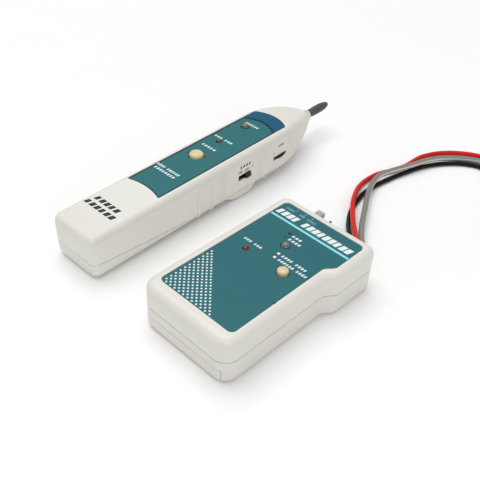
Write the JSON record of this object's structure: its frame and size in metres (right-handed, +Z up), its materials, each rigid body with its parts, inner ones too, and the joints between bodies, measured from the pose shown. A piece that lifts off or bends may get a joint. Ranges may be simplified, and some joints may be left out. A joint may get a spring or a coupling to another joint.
{
  "type": "tone probe kit",
  "caption": "Cable tracing set: a hand-held tracer with a pointed pick-up tip, and a small tone generator box with red, black and grey leads.",
  "frame": {"origin": "on the table under the tone generator, midway along it and in the middle of its narrow rear width", "axes": "+Y along the generator towards its lead end, +X towards the side that steps out, +Z up"},
  "size_m": [0.1892, 0.2676, 0.0325],
  "materials": {
    "case_abs": "fine moulded texture",
    "teal_panel": "printed overlay, satin",
    "blue_lens": "translucent, smooth",
    "cream_button": "moulded, satin",
    "black_plastic": "moulded",
    "grey_knob": "moulded",
    "tip_plastic": "moulded, conductive",
    "red_led": "epoxy, clear gloss",
    "dark_red_led": "epoxy, clear gloss",
    "green_led": "epoxy, clear gloss",
    "clear_led": "epoxy, clear gloss",
    "circuit_board": "solder mask",
    "plated_steel": "nickel plated",
    "battery_jacket": "printed steel jacket",
    "speaker_cone": "pressed paper cone",
    "red_lead": "soft PVC",
    "black_lead": "soft PVC",
    "grey_lead": "soft PVC",
    "plug_plastic": "clear polycarbonate"
  },
  "bodies": {
    "generator": {"black_clip_base": "plated_steel", "black_clip_pin": "plated_steel", "black_clip_spring": "plated_steel", "black_lead": "black_lead", "gen_battery": "battery_jacket", "gen_battery_snap": "black_plastic", "gen_bottom_shell": "case_abs", "gen_circuit_board": "circuit_board", "gen_function_switch": "black_plastic", "gen_lead_grommet": "black_plastic", "gen_line_led": "red_led", "gen_panel": "teal_panel", "gen_screw_left": "plated_steel", "gen_screw_right": "plated_steel", "gen_slot_bezel": "black_plastic", "gen_status_led": "clear_led", "gen_tone_chip": "black_plastic", "gen_tone_switch": "black_plastic", "gen_top_shell": "case_abs", "grey_lead": "grey_lead", "grey_lead_plug": "plug_plastic", "red_clip_base": "plated_steel", "red_clip_pin": "plated_steel", "red_clip_spring": "plated_steel", "red_lead": "red_lead"},
    "probe": {"probe_amp_chip": "black_plastic", "probe_battery": "battery_jacket", "probe_battery_led": "dark_red_led", "probe_battery_snap": "black_plastic", "probe_bottom_shell": "case_abs", "probe_circuit_board": "circuit_board", "probe_lens": "blue_lens", "probe_mode_switch": "black_plastic", "probe_panel": "teal_panel", "probe_screw_front": "plated_steel", "probe_screw_rear": "plated_steel", "probe_signal_led": "green_led", "probe_speaker": "speaker_cone", "probe_tip": "tip_plastic", "probe_tip_collar": "case_abs", "probe_top_shell": "case_abs", "probe_trace_switch": "black_plastic", "probe_volume_control": "black_plastic"},
    "tone_button": {"gen_tone_button": "cream_button"},
    "function_knob": {"gen_function_knob": "grey_knob"},
    "generator_door": {"gen_battery_door": "case_abs"},
    "red_jaw": {"red_clip_jaw": "plated_steel"},
    "black_jaw": {"black_clip_jaw": "plated_steel"},
    "trace_button": {"probe_trace_button": "cream_button"},
    "mode_knob": {"probe_mode_knob": "black_plastic"},
    "volume_wheel": {"probe_volume_wheel": "black_plastic"},
    "probe_door": {"probe_battery_door": "case_abs"}
  },
  "joints": [
    {"name": "tone_button_press", "type": "slide", "parent": "generator", "child": "tone_button", "axis": [0, 0, -1], "range_m": [0, 0.0015], "stiffness_N_per_m": 400, "springref_m": -0.001},
    {"name": "function_switch_slide", "type": "slide", "parent": "generator", "child": "function_knob", "axis": [1, 0, 0], "range_m": [0, 0.007]},
    {"name": "generator_door_slide", "type": "slide", "parent": "generator", "child": "generator_door", "axis": [0, -1, 0], "range_m": [0, 0.034]},
    {"name": "red_jaw_open", "type": "hinge", "parent": "generator", "child": "red_jaw", "pos_m": [0.07293, 0.16, 0.0036], "axis": [0, 0, 1], "range_deg": [0, 16], "stiffness_Nm_per_rad": 0.05, "springref_deg": -22.92},
    {"name": "black_jaw_open", "type": "hinge", "parent": "generator", "child": "black_jaw", "pos_m": [0.06202, 0.13756, 0.0036], "axis": [0, 0, 1], "range_deg": [0, 16], "stiffness_Nm_per_rad": 0.05, "springref_deg": -22.92},
    {"name": "probe_lift", "type": "slide", "parent": "generator", "child": "probe", "axis": [0, 0, 1], "range_m": [0, 0.12]},
    {"name": "trace_button_press", "type": "slide", "parent": "probe", "child": "trace_button", "axis": [-0.0004, 0.0244, -0.9997], "range_m": [0, 0.001], "stiffness_N_per_m": 600, "springref_m": -0.001},
    {"name": "mode_switch_slide", "type": "slide", "parent": "probe", "child": "mode_knob", "axis": [0.0157, -0.9996, -0.0244], "range_m": [0, 0.005]},
    {"name": "volume_turn", "type": "hinge", "parent": "probe", "child": "volume_wheel", "pos_m": [-0.07888, 0.09289, 0.015], "axis": [0.0004, -0.0244, 0.9997], "range_deg": [0, 280]},
    {"name": "probe_door_slide", "type": "slide", "parent": "probe", "child": "probe_door", "axis": [0.0157, -0.9996, -0.0244], "range_m": [0, 0.075]}
  ]
}
